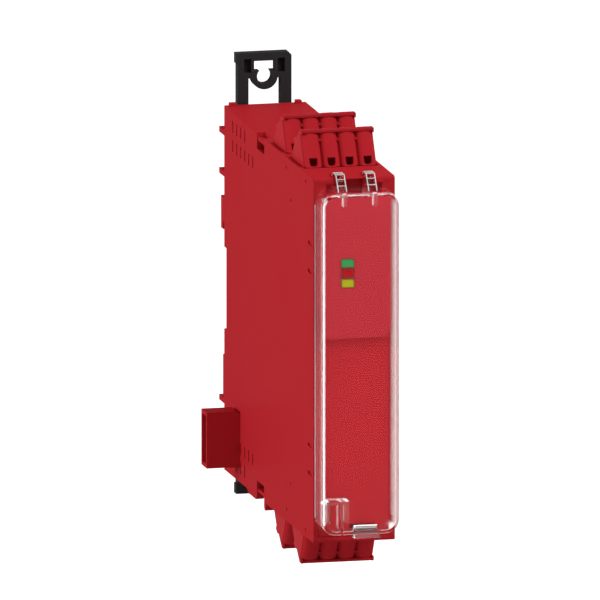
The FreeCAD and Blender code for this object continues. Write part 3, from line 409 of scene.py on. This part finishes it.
def dress_block(name, body, side):
    """The round columns, test holes, webs and eared lip on the slanted front of a terminal block.

    The side is 1 for a block on top and -1 for one below, which is its mirror image.
    """
    low, high = box_mm(name + "_block")
    half = high.x
    tip = max(high.z, -low.z)
    front = high.y - FOOT_DEPTH
    pitch = 2 * half / WAYS
    middles = [-half + pitch * (way + 0.5) for way in range(WAYS)]
    column_top = tip - COLUMN_DROP
    lip_front = front + LEAN * (column_top - COLUMN_FOOT)

    def columns(build):
        radius, root = pitch / 2 - COLUMN_GAP, front + COLUMN_ROOT
        level = side * COLUMN_FOOT
        for middle in middles:
            ring = [(middle - radius, root, level), (middle + radius, root, level)]
            for angle in arc(COLUMN_FACETS, math.pi):
                proud = COLUMN_BULGE * math.sin(angle)
                ring.append((middle + radius * math.cos(angle), front - proud, level))
            prism(build, ring, (0, lip_front - front, side * (column_top - COLUMN_FOOT)))

    def holes(build):
        radius, start, sill = TEST_HOLE_RADIUS, front - TEST_HOLE_REACH, side * TEST_HOLE_SILL
        for middle in middles:
            ring = [(middle - radius, start, sill), (middle + radius, start, sill)]
            for angle in arc(TEST_HOLE_FACETS, math.pi):
                level = TEST_HOLE_ARCH - radius * math.sin(angle)
                ring.append((middle + radius * math.cos(angle), start, side * level))
            prism(build, ring, (0, 2 * TEST_HOLE_REACH, 0))

    def lip(build):
        bar(build, (-half, half), [lip_front + depth for depth in LIP_DEPTHS],
            span(side, *[tip - drop for drop in LIP_DROPS]))
        for end in (-half - EAR_PROUD, half + EAR_PROUD - EAR_WIDTH):
            bar(build, (end, end + EAR_WIDTH), [lip_front + depth for depth in EAR_DEPTHS],
                span(side, *[tip - drop for drop in EAR_DROPS]))
        plane = front + LEAN * (WEB_LEVEL - FACE)
        for left, right in zip(middles, middles[1:]):
            middle = (left + right) / 2
            bar(build, (middle - WEB_HALF_WIDTH, middle + WEB_HALF_WIDTH),
                [plane + depth for depth in WEB_DEPTHS],
                span(side, WEB_LEVEL - WEB_HALF_HEIGHT, WEB_LEVEL + WEB_HALF_HEIGHT))

    fluted = solid(name + "_columns", columns)
    pierce(fluted, solid(name + "_holes", holes))
    finish_piece(fluted, body, "plug_plastic")
    finish_piece(solid(name + "_lip", lip), body, "plug_plastic")


# ---- clear cover ----

COVER_LOW, COVER_HIGH = box_mm("clear_cover")

# The arms' outer line and rungs, as (along, up), and their left edges.
ARM_LINE = [(-109.8, 47.0), (-106.5, COVER_HIGH.z), (-103.4, COVER_HIGH.z), (-101.9, 50.1)]
ARM_RUNGS = [(-108.6, 48.52), (-107.4, 50.04), (-106.3, COVER_HIGH.z), (-104.9, COVER_HIGH.z),
             (-103.5, COVER_HIGH.z)]
ARM_LEFTS = (-5.45, 2.95)
ARM_WIDTH, ARM_RAIL, ARM_DEPTH, ARM_PROUD = 2.5, 0.22, 0.12, 0.05
RUNG_HALF, RUNG_DEPTH = 0.1, 0.14

GRIP_ACROSS, GRIP_FOOT, GRIP_RIBS = (-1.6, 4.3), -46.0, 4
RIB_PITCH, RIB_HEIGHT = 0.55, 0.22
RIB_DEPTHS = (0.04, 0.2)               # the ribs' front and back, behind the cover's front

# The white strips along the tray's long sides, painted highlights on its rim: each from inside to outside,
# then their front and back, and how far they run up and down.
RIM_SIDES, RIM_ALONG, RIM_END = ((-10.8, -11.03), (10.2, 10.4)), (-106.1, -105.82), 43.0


def arm_edges(build):
    """The raised edges and rungs of the hinge arms, which carry the arms' white painted highlights."""
    line = [(y, z + ARM_PROUD) for y, z in ARM_LINE]
    line += [(y + ARM_DEPTH, z - ARM_DEPTH) for y, z in reversed(ARM_LINE)]
    for left in ARM_LEFTS:
        for x in (left, left + ARM_WIDTH - ARM_RAIL):
            prism(build, [(x, y, z) for y, z in line], (ARM_RAIL, 0, 0))
        for y, z in ARM_RUNGS:
            bar(build, (left, left + ARM_WIDTH), (y - RUNG_HALF, y + RUNG_HALF),
                (z - RUNG_DEPTH, z + ARM_PROUD))


def grip_ribs(build):
    """The level ribs across the grip bar, whose dark grey is painted shade in place of the dark stripes that
    the ribs' refraction makes.
    """
    for index in range(GRIP_RIBS):
        level = GRIP_FOOT + RIB_PITCH * index
        bar(build, GRIP_ACROSS, [COVER_LOW.y + depth for depth in RIB_DEPTHS], (level, level + RIB_HEIGHT))


def rim_painted_highlights(build):
    """A three-sided white strip along each long side of the tray, a painted highlight on its rim."""
    front, back = RIM_ALONG
    for inner, outer in RIM_SIDES:
        ring = [(inner, back, -RIM_END), (outer, back, -RIM_END), (outer, front, -RIM_END)]
        prism(build, ring, (0, 0, 2 * RIM_END))


def dress_cover():
    """White strips on the clear moulding's edges, which are painted highlights, and dark grey ribs on its
    grip, which are painted shade.
    """
    # The pale grey is painted highlight on the cover's edges, and the dark grey is painted shade on its grip.
    painted_highlight_look, grip_painted_shade_look = painted_light_material("clear_edges_painted_highlight_look", 0.95), painted_light_material("grip_ribs_painted_shade_look", 0.2)
    finish_piece(solid("arm_edges", arm_edges), "clear_cover", "clear_plastic", painted_highlight_look)
    finish_piece(solid("rim_painted_highlights", rim_painted_highlights), "clear_cover", "clear_plastic", painted_highlight_look)
    finish_piece(solid("grip_ribs", grip_ribs), "clear_cover", "clear_plastic", grip_painted_shade_look)


# ---- housing ----

PANEL_FRONT, PANEL_TOP = box_mm("front_panel")[0].y, box_mm("front_panel")[1].z

HINGE_SIDES = ((-10.4, -7.7), (7.7, 10.2))         # the left and right of each closed corner
HINGE_ROOF, HINGE_BACK, HINGE_CHAMFER = FACE - 0.8, -103.0, 0.4

NOTCH_HEIGHTS, NOTCH_ALONG = (44.7, 49.0), (-48.2, -37.8)
NOTCH_WALL, NOTCH_FLOOR, NOTCH_CHEEK = 0.8, (-8.95, -7.9), (-10.1, -8.0)

SHOULDER_START, SHOULDER_RADIUS, SHOULDER_FACETS = -12.6, 1.4, 8
STEM_DROP = 0.05                       # how far the plug's top steps down beyond its shoulder
HOLLOW_WALL, HOLLOW_DEPTH = 1.0, 3.05

# The sizes of the dark frames of painted shade round the light windows.
WINDOW_INSET, WINDOW_HALF_HEIGHT = 0.5, 1.0
FRAME_SIDE, FRAME_EDGE, FRAME_DEPTHS = 0.25, 0.22, (0.1, 0.4)

LOWER_RIB_LEFT, LOWER_RIB_WIDTH = -10.9, 2.2
LOWER_RIB_ROOT, LOWER_RIB_SIDE, LOWER_RIB_NOSE = -FACE + 0.1, -FACE - 0.5, -FACE - 1.3


def hinge_ends(build):
    """The closed corners beside the cover's hinge."""
    front, bottom = PANEL_FRONT + 0.04, PANEL_TOP - 0.1
    for left, right in HINGE_SIDES:
        ring = [(left, front, bottom), (left, front, HINGE_ROOF - HINGE_CHAMFER),
                (left, PANEL_FRONT + HINGE_CHAMFER, HINGE_ROOF), (left, HINGE_BACK, HINGE_ROOF),
                (left, HINGE_BACK, bottom)]
        prism(build, ring, (right - left, 0, 0))


def notch_floors(build):
    """A floor and two cheeks in the notch of the upper edge and in that of the lower one."""
    front, back = NOTCH_ALONG
    for side in (-1, 1):
        up = span(side, *NOTCH_HEIGHTS)
        bar(build, NOTCH_FLOOR, NOTCH_ALONG, up)
        bar(build, NOTCH_CHEEK, (front, front + NOTCH_WALL), up)
        bar(build, NOTCH_CHEEK, (back - NOTCH_WALL, back), up)


def bus_plug(build):
    """The plug for the next module, with a rounded shoulder where it narrows."""
    low, high = box_mm("extension_connector")
    stem_top, middle = high.z - STEM_DROP, high.z - SHOULDER_RADIUS
    stem_start = SHOULDER_START + SHOULDER_RADIUS
    outline = [(low.x, high.z), (low.x, low.z), (high.x, low.z), (high.x, stem_top), (stem_start, stem_top)]
    for angle in arc(SHOULDER_FACETS, math.pi / 2):
        outline.append((SHOULDER_START + SHOULDER_RADIUS * math.cos(angle),
                        middle + SHOULDER_RADIUS * math.sin(angle)))
    prism(build, [(x, low.y, z) for x, z in outline], (0, high.y - low.y, 0))


def bus_hollow(build):
    """The opening in the plug's left end, from a little outside it."""
    low, high = box_mm("extension_connector")
    bar(build, (low.x - HOLLOW_WALL, low.x + HOLLOW_DEPTH), (low.y + HOLLOW_WALL, high.y - HOLLOW_WALL),
        (low.z + HOLLOW_WALL, high.z - HOLLOW_WALL))


def lamp_window_shade_frames(build):
    """A dark frame round each of the three light windows: painted shade where the gap round each window lies
    in shadow.
    """
    for colour in ("green", "red", "yellow"):
        low, high = box_mm("light_pipe_" + colour)
        left, right = low.x + WINDOW_INSET, high.x - WINDOW_INSET
        middle = (low.z + high.z) / 2
        bottom, top = middle - WINDOW_HALF_HEIGHT, middle + WINDOW_HALF_HEIGHT
        along = [low.y + depth for depth in FRAME_DEPTHS]
        bar(build, (left - FRAME_SIDE, right + FRAME_SIDE), along, (top, top + FRAME_EDGE))
        bar(build, (left - FRAME_SIDE, right + FRAME_SIDE), along, (bottom - FRAME_EDGE, bottom))
        bar(build, (left - FRAME_SIDE, left), along, (bottom, top))
        bar(build, (right, right + FRAME_SIDE), along, (bottom, top))


def lower_rib(build):
    """The flat-nosed rib under the lower edge, steeper in front than behind."""
    root, side, nose = LOWER_RIB_ROOT, LOWER_RIB_SIDE, LOWER_RIB_NOSE
    outline = [(-36.5, root), (-36.5, side), (-35.7, nose), (-27.5, nose), (-25.5, side), (-25.5, root)]
    prism(build, [(LOWER_RIB_LEFT, y, z) for y, z in outline], (LOWER_RIB_WIDTH, 0, 0))


def dress_housing():
    """The rib, the dark frames of painted shade round the windows, the closed corners and the hollow bus plug
    of the housing.
    """
    finish_piece(solid("lower_rib", lower_rib), "housing", "red_plastic")
    finish_piece(solid("lamp_window_shade_frames", lamp_window_shade_frames), "housing", "black_plastic")
    finish_piece(solid("hinge_ends", hinge_ends), "housing", "red_plastic")
    finish_piece(solid("notch_floors", notch_floors), "housing", "red_plastic")
    connector = solid("bus_plug", bus_plug)
    pierce(connector, solid("bus_hollow", bus_hollow))
    finish_piece(connector, "housing", "red_plastic")
    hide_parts("extension_connector")


# ---- stage, lights and camera ----

FLOOR_DROP, FLOOR_REACH = 30 * MM, 3.0
FLOOR_GREY, FLOOR_GLOW = 0.5, 0.85
SKY_LIGHT, SKY_SEEN = 0.3, 1.0         # the surroundings' strength as light, and as what is seen

# Each lamp's place and width in metres, and its power in watts.
LAMPS = {
    "left_key": ((-0.9, -0.1, 0.2), 0.5, 4.8),
    "right_fill": ((0.45, -0.5, 0.72), 0.5, 5.5),
    "top_fill": ((0.1, 0.1, 0.8), 0.6, 0.7),
}

CAMERA_AZIMUTH, CAMERA_ELEVATION = math.radians(-13.2), math.radians(11.2)
CAMERA_AIM = Vector((-2.0, -50.0, 5.75)) * MM
CAMERA_WIDTH, CAMERA_DISTANCE = 161.7 * MM, 0.8


def seen_rays(nodes, links):
    """1 for rays that look at the surroundings, from the camera, through the cover or in a reflection."""
    path = nodes.new("ShaderNodeLightPath")
    chosen = path.outputs["Is Camera Ray"]
    for kind in ("Is Transmission Ray", "Is Glossy Ray"):
        chosen = add_math(nodes, links, "MAXIMUM", chosen, path.outputs[kind])
    return chosen


def floor():
    """A white floor well below the module, which hangs as it does on its rail."""
    level, reach = cad_box[0].z - FLOOR_DROP, FLOOR_REACH
    mesh = bpy.data.meshes.new("floor")
    corners = [(-reach, -reach, level), (reach, -reach, level), (reach, reach, level), (-reach, reach, level)]
    mesh.from_pydata(corners, [], [(0, 1, 2, 3)])
    ground = bpy.data.objects.new("floor", mesh)
    scene.collection.objects.link(ground)
    material, nodes, links, shader = new_material("floor_look")
    shader.inputs["Base Color"].default_value = grey(FLOOR_GREY)
    shader.inputs["Roughness"].default_value = 0.8
    shader.inputs["Emission Color"].default_value = grey(1.0)
    glow = add_math(nodes, links, "MULTIPLY", seen_rays(nodes, links), FLOOR_GLOW)
    links.new(glow, shader.inputs["Emission Strength"])
    mesh.materials.append(material)


def world():
    """A grey soft light all round, which looks white to the camera and through the clear cover."""
    surroundings = bpy.data.worlds.new("studio")
    scene.world = surroundings
    surroundings.use_nodes = True
    nodes, links = surroundings.node_tree.nodes, surroundings.node_tree.links
    background = nodes["Background"]
    background.inputs["Color"].default_value = grey(1.0)
    strength = between(nodes, links, seen_rays(nodes, links), SKY_LIGHT, SKY_SEEN)
    links.new(strength, background.inputs["Strength"])


def area_light(name, place, width, power):
    """A square lamp that points at the module's middle."""
    aim = (cad_box[0] + cad_box[1]) / 2
    lamp = bpy.data.lights.new(name, "AREA")
    lamp.shape = "SQUARE"
    lamp.size = width
    lamp.energy = power
    holder = bpy.data.objects.new(name, lamp)
    holder.location = place
    holder.rotation_euler = (aim - Vector(place)).to_track_quat("-Z", "Y").to_euler()
    scene.collection.objects.link(holder)


def camera():
    """A parallel view from the left of the front and a little above."""
    level = math.cos(CAMERA_ELEVATION)
    back = Vector((math.sin(CAMERA_AZIMUTH) * level, -math.cos(CAMERA_AZIMUTH) * level,
                   math.sin(CAMERA_ELEVATION)))
    data = bpy.data.cameras.new("camera")
    data.type = "ORTHO"
    data.ortho_scale = CAMERA_WIDTH
    data.clip_end = 10.0
    holder = bpy.data.objects.new("camera", data)
    holder.location = CAMERA_AIM + back * CAMERA_DISTANCE
    holder.rotation_euler = (-back).to_track_quat("-Z", "Y").to_euler()
    scene.collection.objects.link(holder)
    scene.camera = holder


camera()
dress_nodes()
dress_cover()
dress_housing()
for row in ("front", "rear"):
    dress_block(f"top_{row}", f"top_{row}_plug", 1)
    dress_block(f"bottom_{row}", f"bottom_{row}_plug", -1)
floor()
world()
for lamp_name, (lamp_place, lamp_width, lamp_power) in LAMPS.items():
    area_light(lamp_name, lamp_place, lamp_width, lamp_power)
scene.view_settings.view_transform = "Standard"
